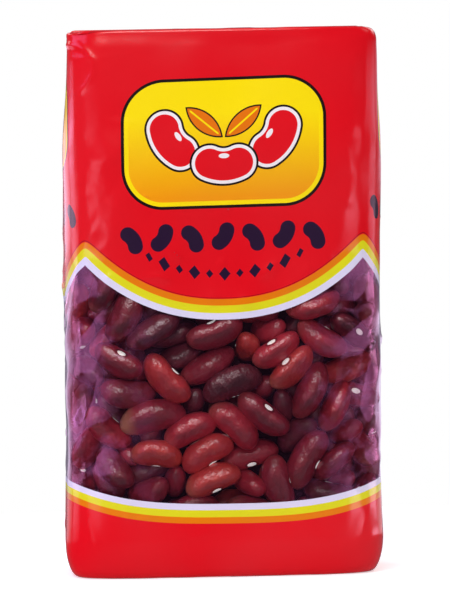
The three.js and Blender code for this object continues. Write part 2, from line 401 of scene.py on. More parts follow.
def drawn_bean(here, outward, along, z, layer):
    """A bean behind a place on the wall, by seeded draws."""
    scale = rng.normal(*SCALES)
    size = np.array(BEAN) * (scale * rng.uniform(0.95, 1.05), scale, scale)
    slope = rng.normal(*SLOPES)
    eye = rng.choice(EYE_TURNS, p=EYE_CHANCES) + rng.normal(*EYE_OFFSETS)
    if rng.random() < FLAT_CHANCE:
        tilt = rng.normal(*FLAT_TILTS)
    else:
        tilt = rng.choice([-1, 1]) * rng.uniform(*STEEP_TILTS)
    tone = float(np.clip(rng.normal(*TONES), 0.1, 1.0))
    look = (tone, max(0.0, rng.normal(*TIPS)), rng.uniform(0, 0.5))
    centre = here - outward * (FIRST_INSET + LAYER_STEP * layer)
    axes = bean_axes(outward, along, slope, eye, tilt)
    return (centre[0], centre[1], z), axes, size, look, 0.0, 1 - layer


def lay_beans():
    """The front's beans, and the others of both layers."""
    rows = [front_bean(*bean) for bean in FRONT_BEANS]
    half_width, low, high = FRONT_ZONE
    height = BEANS_TO - BEANS_FROM - 2 * END_MARGIN
    for layer, area in enumerate(LAYER_AREAS):
        girth = RING.girth - 1.6 * math.pi * (FIRST_INSET + LAYER_STEP * layer)
        count = int(girth * height / area)
        for i in range(count):
            z = BEANS_FROM + END_MARGIN + height * (i + rng.uniform(0.1, 0.9)) / count
            here, outward, along = wall_frame(RING.girth * ((i * TURN_OF_BEANS + LAYER_TURN * layer) % 1.0))
            on_front = here[1] < 0 and abs(here[0]) < half_width and abs(outward[1]) > 0.6
            if layer == 0 and on_front and low < z < high:
                continue
            rows.append(drawn_bean(here, outward, along, z, layer))
    return Beans(rows)


def wall_norm(points, inset):
    """How far points are out from the middle, as a share of the section drawn in by an inset."""
    z = np.clip(points[:, 2], 0, ROOF_HEIGHT)
    half_x, half_y, power = section(z, points[:, 0] > 0)
    x = points[:, 0] - lean_at(z) - CENTRING[0]
    y = points[:, 1] - CENTRING[1]
    total = (np.abs(x) / (half_x - inset)) ** power + (np.abs(y) / (half_y - inset)) ** power
    return total ** (1 / power), x, y


def ball_pairs(beans, reach):
    """Numbers of the balls to try against each other, of all beans that are near each other."""
    gap = np.linalg.norm(beans.place[:, None] - beans.place[None], axis=2)
    first, second = np.nonzero(np.triu(gap < reach[:, None] + reach[None], 1))
    stations = len(BALL_STATIONS)
    one = first[:, None, None] * stations + np.arange(stations)[None, :, None]
    two = second[:, None, None] * stations + np.arange(stations)[None, None, :]
    shape = (len(first), stations, stations)
    return [np.broadcast_to(numbers, shape).reshape(-1) for numbers in (one, two)]


def pushed_apart(balls, radius, one, two):
    """The balls with those that overlap moved apart, and the largest overlap before that."""
    apart = balls[one] - balls[two]
    distance = np.linalg.norm(apart, axis=1)
    overlap = radius[one] + radius[two] - distance
    near = overlap > 0
    a, b = one[near], two[near]
    push = apart[near] / np.maximum(distance[near], 1e-6)[:, None] * (0.5 * overlap[near])[:, None]
    move = np.zeros_like(balls)
    np.add.at(move, a, push)
    np.add.at(move, b, -push)
    touched = np.bincount(np.concatenate([a, b]), minlength=len(balls)).astype(float)
    move /= np.maximum(1, 0.6 * touched)[:, None]
    return balls + move, float(overlap.max(initial=0))


def kept_in_shell(balls, radius):
    """The balls moved to the space between the film and the core."""
    norm, x, y = wall_norm(balls, radius + WALL_GAP)
    out = norm > 1
    balls[out, 0] -= (x - x / norm)[out]
    balls[out, 1] -= (y - y / norm)[out]
    norm, x, y = wall_norm(balls, SHELL)
    deep = norm < 1
    balls[deep, 0] += (0.5 * (x / np.maximum(norm, 0.2) - x))[deep]
    balls[deep, 1] += (0.5 * (y / np.maximum(norm, 0.2) - y))[deep]
    balls[:, 2] = np.clip(balls[:, 2], BEANS_FROM - END_MARGIN + radius, BEANS_TO + END_MARGIN - radius)
    return balls


def settle(beans):
    """Pushes overlapping beans apart. The front's are drawn to their places, at first more than at last."""
    target_place, target_axes = beans.place.copy(), beans.axes.copy()
    reach = 0.5 * beans.size[:, 0] + 1.5
    centre = beans.balls.mean(axis=1, keepdims=True)
    radius = beans.radius.reshape(-1)
    for step in range(SETTLE_STEPS):
        if step % PAIR_STEPS == 0:
            one, two = ball_pairs(beans, reach)
        moved, overlap = pushed_apart(beans.placed(beans.balls).reshape(-1, 3), radius, one, two)
        moved = kept_in_shell(moved, radius).reshape(beans.balls.shape)
        middle = moved.mean(axis=1)
        cover = np.einsum("nsi,nsj->nij", beans.balls - centre, moved - middle[:, None])
        cover += STIFFNESS * beans.axes + (beans.held * HELD_STIFFNESS)[:, None, None] * target_axes
        left, _, right = np.linalg.svd(cover)
        flip = np.linalg.det(np.einsum("nij,njk->nik", left, right)) < 0
        left[flip, :, 2] *= -1
        beans.axes = np.einsum("nij,njk->nik", left, right)
        place = middle - np.einsum("nsi,nij->nsj", centre, beans.axes)[:, 0]
        drift = (target_place - place) * (1, HOLD_DEPTH, 1)
        beans.place = place + beans.held[:, None] * HOLD * (1 - step / SETTLE_STEPS) * drift
    return overlap


def ball_faces(rings, sides):
    """Faces of a closed form that has a first pole, rings of points and a last pole."""
    last = 1 + rings * sides
    faces = []
    for j in range(sides):
        k = (j + 1) % sides
        faces.append((0, 1 + j, 1 + k))
        faces.append((last, last - sides + k, last - sides + j))
        for i in range(rings - 1):
            a, b = 1 + i * sides, 1 + (i + 1) * sides
            faces.append((a + j, b + j, b + k, a + k))
    return faces


def ring_points(rings, sides, first, last):
    """For a form with two poles: the number of each point's ring, and its angle round the axis."""
    angle = 2 * math.pi * np.arange(sides) / sides
    turn = np.concatenate([[0.0], np.tile(angle, len(rings)), [0.0]])
    return np.concatenate([[first], np.repeat(rings, sides), [last]]), turn


def copied_faces(template, copies, points_each, start=0):
    """The faces of several copies of a form, whose points lie one copy after another."""
    starts = [start + n * points_each for n in range(copies)]
    return [tuple(first + k for k in face) for first in starts for face in template]


def bean_lumps(x, turn, number):
    """Slight swellings and hollows, of another form on each bean."""
    draw = np.random.default_rng(21)
    phases = draw.uniform(0, 2 * math.pi, (BEAN_KINDS, 4))[number % BEAN_KINDS]
    a, b, c, d = (phases[:, k, None] for k in range(4))
    oval = 0.036 * np.cos(2 * turn[None] + a) + 0.030 * np.cos(0.33 * x + b)
    return oval + 0.026 * np.cos(0.75 * x + c) * np.cos(3 * turn[None] + d)


def eye_dent(x, z):
    """Depth of the hollow that the eye lies in."""
    depth, half_length, half_width = EYE_DENT
    return depth * np.exp(-((x / half_length) ** 2) - (z / half_width) ** 2)


def bean_skin(u, turn, size, wrinkle, number):
    """Points of beans in their own axes. size is (beans, 3), u and turn are (points)."""
    profile = np.sqrt(np.maximum(0, 1 - np.abs(u) ** BEAN_POWER))[None]
    half = 0.5 * size
    x = half[:, :1] * u[None]
    meander = 1.6 * np.sin(turn)[None] + 1.3 * np.sin(0.9 * x + 2 * np.cos(turn)[None])
    wave = np.abs(np.sin(1.7 * x + meander))
    ripple = 0.085 * wrinkle[:, None] ** 2 * ((1 - wave) ** 2 - 0.3)
    reach = profile * (1 + ripple + bean_lumps(x, turn, number))
    y = bean_axis(u)[None] + half[:, 1:2] * reach * np.cos(turn)[None]
    z = half[:, 2:3] * reach * np.sin(turn)[None]
    return np.stack([x, y - eye_dent(x, z) * (np.cos(turn)[None] > 0), z], axis=-1)


BEAN_DETAIL = {0: (9, 10), 1: (14, 14), 2: (26, 24), 3: (58, 28)}  # rings and sides
TEXTURE_STRIDE = 37.0  # between beans, in the place that their material reads


def joined_beans(beans):
    """All beans as one mesh: points, faces, and what the material needs at each point."""
    points, faces, place, look = [], [], [], []
    start = 0
    for detail, (rings, sides) in BEAN_DETAIL.items():
        chosen = np.nonzero(beans.detail == detail)[0]
        along = -np.cos(math.pi * np.arange(1, rings + 1) / (rings + 1))
        u, turn = ring_points(along, sides, -1.0, 1.0)
        skin = bean_skin(u, turn, beans.size[chosen], beans.look[chosen, 2], chosen)
        points.append(beans.placed(skin, chosen).reshape(-1, 3))
        place.append(skin.reshape(-1, 3) + np.repeat(chosen, len(u))[:, None] * (TEXTURE_STRIDE, 0, 0))
        look.append(np.repeat(beans.look[chosen], len(u), axis=0))
        faces += copied_faces(ball_faces(rings, sides), len(chosen), len(u), start)
        start += len(chosen) * len(u)
    return np.concatenate(points), faces, np.concatenate(place), np.concatenate(look)


EYE = (1.55, 0.92)  # half length and half width
EYE_RINGS, EYE_SIDES = 3, 12
EYE_LIFT = (0.05, 0.16)  # height of its edge above the bean, and of its crown above that
EYE_ROOT = -0.5  # height of the pole that closes it underneath


def joined_eyes(beans):
    """The pale eyes: a low dome on each bean's hollow side, closed underneath."""
    share, angle = ring_points(np.arange(1, EYE_RINGS + 1) / EYE_RINGS, EYE_SIDES, 0.0, 0.0)
    x, z = EYE[0] * share * np.cos(angle), EYE[1] * share * np.sin(angle)
    lift = EYE_LIFT[0] + EYE_LIFT[1] * (1 - share**2)
    lift[-1] = EYE_ROOT
    template = [(face[0], *face[:0:-1]) for face in ball_faces(EYE_RINGS, EYE_SIDES)]
    chosen = np.nonzero(beans.detail > 0)[0]
    half = 0.5 * beans.size[chosen]
    u = x[None] / half[:, :1]
    profile = 1 - np.abs(u) ** BEAN_POWER
    across = np.sqrt(np.maximum(0, profile - (z[None] / half[:, 2:3]) ** 2))
    across = across * (1 + bean_lumps(half[:, :1] * u, np.zeros(1), chosen))
    y = bean_axis(u) + half[:, 1:2] * across - eye_dent(x, z)[None] + lift[None]
    skin = np.stack(np.broadcast_arrays(x[None], y, z[None]), axis=-1)
    faces = copied_faces(template, len(chosen), len(share))
    return beans.placed(skin, chosen).reshape(-1, 3), faces


# Meshes


def make_mesh(name, points, faces):
    mesh = bpy.data.meshes.new(name)
    mesh.from_pydata((np.asarray(points) * MM).tolist(), [], faces)
    mesh.validate()
    mesh.polygons.foreach_set("use_smooth", np.full(len(mesh.polygons), True))
    mesh.update()
    piece = bpy.data.objects.new(name, mesh)
    bpy.context.scene.collection.objects.link(piece)
    return piece


def set_vectors(piece, name, values, domain="POINT"):
    attribute = piece.data.attributes.new(name, "FLOAT_VECTOR", domain)
    attribute.data.foreach_set("vector", np.ascontiguousarray(values, np.float32).reshape(-1))


def number_grid(grid):
    """Vertex numbers of a grid of points."""
    return np.arange(grid.shape[0] * grid.shape[1]).reshape(grid.shape[:2])


def quads(a, b, c, d, turned=False):
    """Faces from the numbers of their corners, turned over if asked."""
    corners = (a, d, c, b) if turned else (a, b, c, d)
    return np.stack(corners, axis=-1).reshape(-1, 4)


def tube_faces(index, turned=False):
    """Faces of a tube from the vertex numbers of its closed rings."""
    ahead = np.roll(index, -1, 1)
    return quads(index[:-1], ahead[:-1], ahead[1:], index[1:], turned)


# The film

RAY_START = 3.0  # how far outside the surface the search for a bean starts
RAY_REACH = 30.0
NO_BEAN = 40.0

DRAPE_STEPS = 420
DRAPE_PULL = 0.0045  # how far each step draws slack film in
DRAPE_START = 0.25
DRAPE_RANGE = (18, 34, 92, 118)
CREASE_LIMIT = 0.12  # how much nearer than its own clearance a crease may bring the film to a bean
FILM_DROP = 0.15

BROAD_WAVE, FACET, FINE_FACET = (34, 0.10), (19, 0.40), (9, 0.07)  # length and height
STRENGTHS = (0.04, 0.08, 0.9, 0.32)  # everywhere, near an edge, at the window's edges, on the slack front
SIDE_NEARNESS = 0.4  # how near to an edge all of a side panel counts
EDGE_REACH = 12.0  # how far from a vertical edge the creases of the edge reach
CREASE_ENDS = (2, 12, ROOF_HEIGHT - 6, ROOF_HEIGHT - 1)
CREASED_WINDOW = (24, 36, 96, 116)
SLACK_FRONT = (-40.0, 13.0)  # middle and half width of the slack film on the front's left
SLACK_RANGE = (92, 108, 140, 160)

# Creases on the front that stand out: their points across and up, width and height
FRONT_CREASES = (
    (
        ((-46.5, 174.5), (-43.5, 172.0), (-40.8, 168.2), (-41.1, 164.3), (-43.1, 161.1), (-45.4, 158.6)),
        0.8,
        0.28,
    ),
    (((-52.0, 174.6), (-47.5, 173.8), (-44.5, 172.6)), 0.9, 0.35),
    (((-44.0, 138.0), (-39.0, 135.5), (-34.0, 137.0)), 1.4, 0.09),
    (((-41.5, 127.0), (-40.0, 121.0), (-42.0, 113.0)), 1.4, 0.13),
    (((-37.0, 149.0), (-29.0, 148.0)), 1.0, 0.1),
    (((44.0, 168.0), (42.5, 156.0), (44.0, 146.0)), 2.2, 0.2),
    (((41.0, 139.0), (43.5, 131.0), (41.5, 122.0)), 2.0, 0.2),
    (((-46.0, 20.0), (-43.5, 12.0)), 1.2, 0.16),
    (((-33.6, 27.5), (-32.4, 20.5)), 1.5, 0.3),
    (((46.5, 22.0), (43.0, 12.0)), 1.4, 0.2),
    (((24.0, 20.0), (27.0, 14.0), (31.0, 10.0)), 3.0, 0.25),
    (((33.0, 7.0), (42.0, 9.5), (50.0, 12.5)), 1.6, 0.2),
    (((-48.8, 88.0), (-46.8, 76.0), (-47.8, 66.0), (-45.6, 56.0), (-47.0, 44.0), (-45.8, 32.0)), 1.3, 0.5),
    (((-35.0, 90.0), (-36.4, 78.0), (-32.2, 75.2), (-25.4, 79.8)), 0.8, 0.26),
    (((-44.5, 63.0), (-40.0, 58.5), (-37.5, 50.0)), 1.0, 0.3),
    (((40.0, 77.0), (46.0, 79.5), (48.5, 84.0)), 1.4, 0.4),
    (((41.0, 62.0), (45.0, 68.0), (48.0, 74.0)), 1.6, 0.45),
    (((42.0, 40.0), (46.0, 47.0), (48.5, 52.0)), 1.6, 0.45),
    (((43.0, 29.0), (46.5, 32.5), (48.5, 36.0)), 1.4, 0.4),
)

# The front's upper left corner leans back above a crease
CORNER_CREASE = 169.4
CORNER_LEAN = 0.13


def first_bean_depth(surface, normals, points, faces, rows):
    """How far behind the smooth surface the first bean lies, at each point of the chosen rows."""
    tree = BVHTree.FromPolygons(points.tolist(), faces)
    depth = np.full(surface.shape[:2], NO_BEAN)
    for row in rows:
        for column in range(RING.count):
            normal = Vector(normals[row, column])
            start = Vector(surface[row, column]) + normal * RAY_START
            distance = tree.ray_cast(start, -normal, RAY_REACH)[3]
            if distance is not None:
                depth[row, column] = distance - RAY_START
    return depth


def draped_depth(obstacle, slack):
    """Depth of the film, drawn in a little between the beans it lies on and smooth elsewhere."""
    pull = (DRAPE_PULL * swell(LEVELS, *DRAPE_RANGE))[:, None] * slack
    ceiling = obstacle - FILM_CLEARANCE
    depth = np.minimum(ceiling, DRAPE_START)
    free = ((LEVELS > BASE_ROUND[1]) & (LEVELS < BEANS_TO + 6))[:, None]
    for _ in range(DRAPE_STEPS):
        near = 0.25 * (np.roll(depth, 1, 1) + np.roll(depth, -1, 1))
        near[1:-1] += 0.25 * (depth[:-2] + depth[2:])
        near[[0, -1]] *= 2
        depth = np.where(free, np.minimum(ceiling, near + pull), np.minimum(ceiling, 0.0))
    return depth


def slack_front(up):
    """Where the front's film is slack, on the left above the window, from 0 to 1."""
    middle, half_width = SLACK_FRONT
    across = np.where(RING.panel == 0, np.exp(-(((RING.at - middle) / half_width) ** 2)), 0.0)
    return across[None] * swell(up, *SLACK_RANGE)


def film_creases():
    """How far the creases lift the film, its facets alone, and how near it is to an edge, from 0 to 1."""
    around, up = RING.around[None], LEVELS[:, None]
    near_edge = np.exp(-(((RING.half - np.abs(RING.at)) / EDGE_REACH) ** 2))[None]
    broad = film_waves(around, up, RING.girth, BROAD_WAVE[0], 1)
    facets = film_facets(around, up, RING.girth, FACET[0], 2)
    fine = film_facets(around, up, RING.girth, FINE_FACET[0], 3)
    near = np.maximum(near_edge, np.where(RING.on_side, SIDE_NEARNESS, 0.0)[None])
    anywhere, at_edge, at_window, at_slack = STRENGTHS
    strength = anywhere + at_edge * near_edge + at_window * near * swell(up, *CREASED_WINDOW)
    strength = (strength + at_slack * slack_front(up)) * (0.5 + 0.5 * np.clip(0.5 + 0.6 * broad, 0, 1))
    lift = BROAD_WAVE[1] * broad + strength * (FACET[1] * facets + FINE_FACET[1] * fine)
    return lift * swell(up, *CREASE_ENDS), facets, near_edge


def named_creases(points):
    """Height of the creases that stand out, at points of the front."""
    lift = np.zeros(points.shape[:-1])
    for line, width, height in FRONT_CREASES:
        nearest = np.full(points.shape[:-1], np.inf)
        for start, end in zip(line[:-1], line[1:]):
            start, end = np.array(start), np.array(end)
            step = end - start
            offset = points[..., (0, 2)] - start
            share = np.clip(offset @ step / (step @ step), 0, 1)
            nearest = np.minimum(nearest, np.linalg.norm(offset - share[..., None] * step, axis=-1))
        lift = np.maximum(lift, height * np.exp(-((nearest / width) ** 2)))
    return np.where(points[..., 1] < -0.6 * DEPTH / 2, lift, 0)


def corner_lean(points):
    """How far the front's upper left corner leans back above its crease."""
    x, y, z = points[..., 0], points[..., 1], points[..., 2]
    share = (1 - smoothstep(x, -47, -33)) * smoothstep(-y, 22, 30)
    return CORNER_LEAN * share * np.clip(z - CORNER_CREASE, 0, None)


def film_sides():
    """The smooth surface of the sides, with its normals."""
    surface = drawn_point(RING.u[None], RING.v[None], LEVELS[:, None])
    along = np.roll(surface, -1, 1) - np.roll(surface, 1, 1)
    rising = np.gradient(surface, axis=0)
    return surface, unit(np.cross(along, rising))


def film_skin(bean_points, bean_faces):
    """The sides draped over the beans and creased, their normals, facets, and nearness to an edge."""
    surface, normals = film_sides()
    rows = np.nonzero((LEVELS > BEANS_FROM - 6) & (LEVELS < BEANS_TO + 8))[0]
    obstacle = first_bean_depth(surface, normals, bean_points, bean_faces, rows)
    lift, facets, near_edge = film_creases()
    slack = np.where(RING.on_side, 0.12 + 0.5 * near_edge[0], 1.0)
    depth = draped_depth(obstacle, slack)
    lift = np.maximum(lift - FILM_DROP + named_creases(surface), depth - obstacle + CREASE_LIMIT)
    lift -= corner_lean(surface)
    skin = surface + normals * (lift - depth)[..., None]
    sides = (np.abs(RING.u) == 1) & RING.on_side
    sink = gusset_sink(skin[..., 1], LEVELS[:, None])
    skin[..., 0] -= np.where(sides[None], np.sign(RING.u)[None] * sink, 0)
    return skin, normals, facets, np.broadcast_to(near_edge, facets.shape)


def cap_faces(rim, inner, turned):
    """Faces of the roof or the base. rim gives the vertex numbers round it, inner those inside it."""
    nx, ny = FRONT_CELLS, SIDE_CELLS
    index = np.zeros((nx + 1, ny + 1), int)
    index[:nx, 0] = rim[:nx]
    index[nx, :ny] = rim[nx : nx + ny]
    index[nx:0:-1, ny] = rim[nx + ny : 2 * nx + ny]
    index[0, ny:0:-1] = rim[2 * nx + ny :]
    index[1:nx, 1:ny] = inner
    return quads(index[:-1, :-1], index[1:, :-1], index[1:, 1:], index[:-1, 1:], turned)


FOLD_DEPTH = 0.42
CORNER_FOLD, MIDDLE_FOLD = 1.3, 0.9  # half widths
CAP_SLACK = 0.15  # how high the film between the folds rises at most


def cap_relief(points):
    """Fold lines from the corners to the middle, and a slack film between them."""
    x, y = points[..., 0], points[..., 1]
    rim_x, rim_y = WIDTH / 2 - np.abs(x), DEPTH / 2 - np.abs(y)
    fold = np.exp(-(((rim_x - rim_y) / CORNER_FOLD) ** 2)) * smoothstep(rim_y, 4, 9)
    middle = np.exp(-((y / MIDDLE_FOLD) ** 2)) * smoothstep(rim_x, DEPTH / 2 - 4, DEPTH / 2 + 2)
    slack = 0.11 * film_waves(x, y, 400, 24, 5) + 0.05 * film_waves(x, y, 400, 9, 7)
    return -FOLD_DEPTH * np.maximum(fold, middle) + np.minimum(slack, CAP_SLACK) * smoothstep(rim_y, 1, 6)


def film_caps():
    """Points inside the roof and the base."""
    u, v = np.meshgrid(RING.front_steps[1:-1], RING.side_steps[1:-1], indexing="ij")
    roof, base = (drawn_point(u, v, np.full_like(u, z)) for z in (ROOF_HEIGHT, 0.0))
    roof[..., 2] += ROOF_CROWN * (1 - u**2) * (1 - v**2)
    roof[..., 2] += cap_relief(roof)
    base[..., 2] -= cap_relief(base).clip(None, 0)
    return roof, base


def print_height(points):
    """Height on the print, which sits a little askew on the bag."""
    turn = SKEW * (points[..., 2] - SKEW_FROM)
    return points[..., 2] - turn * points[..., 0]


def arc_distance(x, height, half):
    """Signed distance above the arc that ends the upper printed field."""
    sag = ARC_SAG * half
    share = np.abs(x) / half
    curve = ARC_LOW + ARC_SAG * FRONT_HALF - sag + sag * share**ARC_POWER
    slope = ARC_POWER * ARC_SAG * share ** (ARC_POWER - 1)
    return (height - curve) / np.sqrt(1 + slope**2)


def print_corners(height):
    """Each wall face's corners on its panel: across, up, and half width, with BACK_MARK more on the back."""
    place = np.zeros((len(height) - 1, RING.count, 4, 3))
    place[..., 0, 0] = place[..., 3, 0] = RING.at
    place[..., 1, 0] = place[..., 2, 0] = RING.next_at
    ahead = np.roll(height, -1, 1)
    for corner, level in enumerate((height[:-1], ahead[:-1], ahead[1:], height[1:])):
        place[..., corner, 1] = level
    place[..., 2] = (RING.half + np.where(RING.panel == 2, BACK_MARK, 0))[None, :, None]
    return place.reshape(-1, 4, 3)


def set_print(piece, corners, side):
    """Gives faces their place on the print, and the second material to any that hold some clear film."""
    set_vectors(piece, "print_place", corners, "CORNER")
    half = np.where(corners[..., 2] > BACK_MARK, corners[..., 2] - BACK_MARK, corners[..., 2])
    arc = arc_distance(corners[..., 0], corners[..., 1], half)
    lower = corners[..., 1] - (LOWER_TOP + LOWER_RISE * side**3)
    clear = (arc < -sum(UPPER_BANDS) + 0.05) & (lower > -0.05)
    piece.data.polygons.foreach_set("material_index", clear.any(axis=-1).astype(np.int32))
    piece.data.update()


def build_film(skin, facets, near_edge):
    """The skin of the whole bag: its walls, roof and base."""
    caps = film_caps()
    index = number_grid(skin)
    inner = index.size + np.arange(caps[0][..., 0].size).reshape(caps[0].shape[:2])
    walls = tube_faces(index)
    roof = cap_faces(index[-1], inner, False)
    base = cap_faces(index[0], inner + inner.size, True)
    faces = np.concatenate([walls, roof, base])
    points = np.concatenate([grid.reshape(-1, 3) for grid in (skin, *caps)])
    piece = make_mesh("film", points, faces.tolist())

    side = np.abs(points[:, 0]) / (WIDTH / 2)
    marks = np.zeros((len(points), 3))
    marks[: index.size] = np.stack([side[: index.size], facets.ravel(), near_edge.ravel()], axis=-1)
    set_vectors(piece, "film_marks", marks)
    corners = np.zeros((len(faces), 4, 3))
    corners[: len(walls)] = print_corners(print_height(skin))
    # The caps lie beyond both printed edges
    corners[len(walls) :, :, 1] = np.repeat([ROOF_HEIGHT + 20, -20], len(roof))[:, None]
    corners[len(walls) :, :, 2] = FRONT_HALF
    set_print(piece, corners, side[faces])
    return piece


def neck_profile():
    """The neck's closed outline, from the fold over the middle of the roof to the crimped seal."""
    fold = 0.5 * NECK_THICKNESS
    turn = np.linspace(-0.5 * math.pi, -1.5 * math.pi, 9)
    bend = np.stack([fold * np.cos(turn), fold + fold * np.sin(turn)], axis=1)
    flat = np.linspace(0, NECK_LENGTH - CRIMP_LENGTH, 16)[1:]
    top = np.stack([flat, np.full_like(flat, NECK_THICKNESS)], axis=1)
    ribs = np.linspace(0, CRIMP_LENGTH, CRIMP_RIBS * 8 + 1)[1:]
    wave = 0.5 - 0.5 * np.cos(2 * math.pi * ribs * CRIMP_RIBS / CRIMP_LENGTH)
    crimp = np.stack([NECK_LENGTH - CRIMP_LENGTH + ribs, NECK_THICKNESS - CRIMP_DEPTH * wave], axis=1)
    under = np.linspace(NECK_LENGTH, 0.5, 24)
    sole = np.stack([under, np.full_like(under, NECK_SOLE)], axis=1)
    return np.concatenate([[[0.0, NECK_SOLE]], bend, top, crimp, sole])


def build_neck():
    """The flattened neck: a thin wavy slab, which thins out at both ends and is closed all round."""
    profile = neck_profile()
    x = np.linspace(*NECK_ENDS, NECK_STEPS + 1)
    grid = np.zeros((len(x), len(profile), 3))
    grid[..., 0] = x[:, None] + CENTRING[0]
    grid[..., 1] = profile[None, :, 0] + CENTRING[1]
    raised = profile[None, :, 1] > 0.2
    swelling = np.minimum(0.10 * film_waves(grid[..., 0], grid[..., 1], 300, 24, 6), 0.0)
    grid[..., 2] = profile[None, :, 1] + ROOF_HEIGHT + NECK_LIFT + np.where(raised, swelling, 0)
    length, least = NECK_TAPER
    taper = np.clip(np.minimum(x - NECK_ENDS[0], NECK_ENDS[1] - x) / length, least, 1)[:, None]
    foot = ROOF_HEIGHT + 0.2
    grid[..., 2] = np.where(raised, foot + (grid[..., 2] - foot) * taper, grid[..., 2])
    index = number_grid(grid)
    ends = [index[0].tolist(), index[-1, ::-1].tolist()]
    return make_mesh("neck", grid.reshape(-1, 3), tube_faces(index, turned=True).tolist() + ends)


def build_lap_seam(skin, normals):
    """The strip that follows the film up the middle of the back, printed like the film under it."""
    columns = np.nonzero((RING.panel == 2) & (np.abs(RING.at) <= SEAM_HALF_WIDTH))[0]
    rows = np.nonzero((LEVELS > SEAM_FROM) & (LEVELS < SEAM_TO))[0]
    patch = skin[np.ix_(rows, columns)]
    out = normals[np.ix_(rows, columns)]
    rib_height, rib_pitch = SEAM_RIB
    ribs = 0.5 + 0.5 * np.cos(2 * math.pi * LEVELS[rows] / rib_pitch)
    height = (SEAM_HEIGHT + rib_height * ribs)[:, None] * np.ones(len(columns))[None]
    height[:, [0, -1]] *= SEAM_EDGE
    height[[0, -1]] *= SEAM_EDGE
    grid = np.concatenate([patch + out * height[..., None], (patch - out * SEAM_SINK)[:, ::-1]], axis=1)
    index = number_grid(grid)
    faces = [tube_faces(index)]
    across = len(columns)
    for row in (index[0, ::-1], index[-1]):
        near, far = row[:across], row[across:][::-1]
        faces.append(quads(near[:-1], near[1:], far[1:], far[:-1]))
    faces = np.concatenate(faces)
    points = grid.reshape(-1, 3)
    piece = make_mesh("lap_seam", points, faces.tolist())
    at = np.tile(np.concatenate([RING.at[columns], -RING.at[columns]]), len(rows))
    place = np.stack([at, print_height(points), np.full(len(at), FRONT_HALF + BACK_MARK)], axis=-1)
    side = np.abs(points[:, 0]) / (WIDTH / 2)
    set_vectors(piece, "film_marks", side[:, None] * (1, 0, 0))
    set_print(piece, place[faces], side[faces])
    return piece


CORE_INSET = 13.5  # how far it lies behind the film's smooth form
CORE_BUMPS = (1.1, 13)  # height and length
CORE_RINGS = 60


def build_core():
    """The dark heap behind the beans that show."""
    bump_height, bump_length = CORE_BUMPS
    levels = np.linspace(BEANS_FROM - 3, BEANS_TO + 2, CORE_RINGS)[:, None]
    surface = drawn_point(RING.u[None, ::4], RING.v[None, ::4], levels)
    bumps = film_waves(RING.around[None, ::4], levels, RING.girth, bump_length, 9)
    middle = np.array([*CENTRING, 0.0])
    inset = CORE_INSET - bump_height * np.abs(bumps)
    shrink = np.stack([1 - inset / (WIDTH / 2), 1 - inset / (DEPTH / 2), np.ones_like(inset)], axis=-1)
    grid = middle + (surface - middle) * shrink
    index = number_grid(grid)
    ahead = np.roll(index, -1, 1)
    faces = tube_faces(index).tolist()
    for here, there in zip(index[0], ahead[0]):
        faces.append([index.size, int(there), int(here)])
    for here, there in zip(index[-1], ahead[-1]):
        faces.append([index.size + 1, int(here), int(there)])
    points = np.concatenate([grid.reshape(-1, 3), [grid[0].mean(0), grid[-1].mean(0)]])
    return make_mesh("bean_core", points, faces)


# Materials


def srgb(red, green, blue):
    """Linear colour of an sRGB colour given from 0 to 255."""
    parts = []
    for value in (red, green, blue):
        share = value / 255
        parts.append(share / 12.92 if share <= 0.04045 else ((share + 0.055) / 1.055) ** 2.4)
    return (*parts, 1.0)


def add_node(tree, kind, inputs, **settings):
    """A shader node. Its inputs are numbers, colours, or what is linked to them."""
    node = tree.nodes.new("ShaderNode" + kind)
    for name, value in settings.items():
        setattr(node, name, value)
    for key, value in inputs.items():
        value = getattr(value, "socket", value)
        if isinstance(value, bpy.types.NodeSocket):
            tree.links.new(value, node.inputs[key])
        else:
            node.inputs[key].default_value = value
    return node


class Num:
    """A number in a material's node tree that sums can be written with."""

    def __init__(self, tree, socket):
        self.tree, self.socket = tree, socket

    def calc(self, kind, *others, swap=False):
        parts = (*others, self) if swap else (self, *others)
        return Num(self.tree, add_node(self.tree, "Math", dict(enumerate(parts)), operation=kind).outputs[0])

    def __add__(self, other):
        return self.calc("ADD", other)

    def __sub__(self, other):
        return self.calc("SUBTRACT", other)

    def __rsub__(self, other):
        return self.calc("SUBTRACT", other, swap=True)

    def __mul__(self, other):
        return self.calc("MULTIPLY", other)

    def __truediv__(self, other):
        return self.calc("DIVIDE", other)

    def __pow__(self, other):
        return self.calc("POWER", other)

    def __abs__(self):
        return self.calc("ABSOLUTE")

    def low(self, other):
        return self.calc("MINIMUM", other)

    def high(self, other):
        return self.calc("MAXIMUM", other)

    def root(self):
        return self.calc("SQRT")

    def clamp(self):
        return Num(self.tree, add_node(self.tree, "Clamp", {0: self}).outputs[0])

    def step(self, edge=0.0, blur=0.12):
        """0 below the edge and 1 above it, with a slightly soft edge."""
        return ((self - edge) / blur + 0.5).clamp()


def hypot(a, b):
    return (a * a + b * b).root()


class Paint:
    """A colour in a node tree that further colours are laid over."""

    def __init__(self, tree, colour):
        self.tree = tree
        self.colour = colour  # a colour, or a socket once something is laid over it

    def lay(self, mask, colour):
        inputs = {0: mask, 6: self.colour, 7: colour}
        self.colour = add_node(self.tree, "Mix", inputs, data_type="RGBA").outputs[2]


def new_material(name):
    material = bpy.data.materials.new(name)
    material.use_nodes = True
    material.node_tree.nodes.clear()
    return material, material.node_tree


def set_surface(tree, shader):
    add_node(tree, "OutputMaterial", {"Surface": shader.outputs[0]})


def read_vector(tree, name):
    """The vector that a mesh holds under a name, as three numbers and as a socket."""
    vector = add_node(tree, "Attribute", {}, attribute_name=name).outputs["Vector"]
    return [Num(tree, socket) for socket in add_node(tree, "SeparateXYZ", {0: vector}).outputs], vector


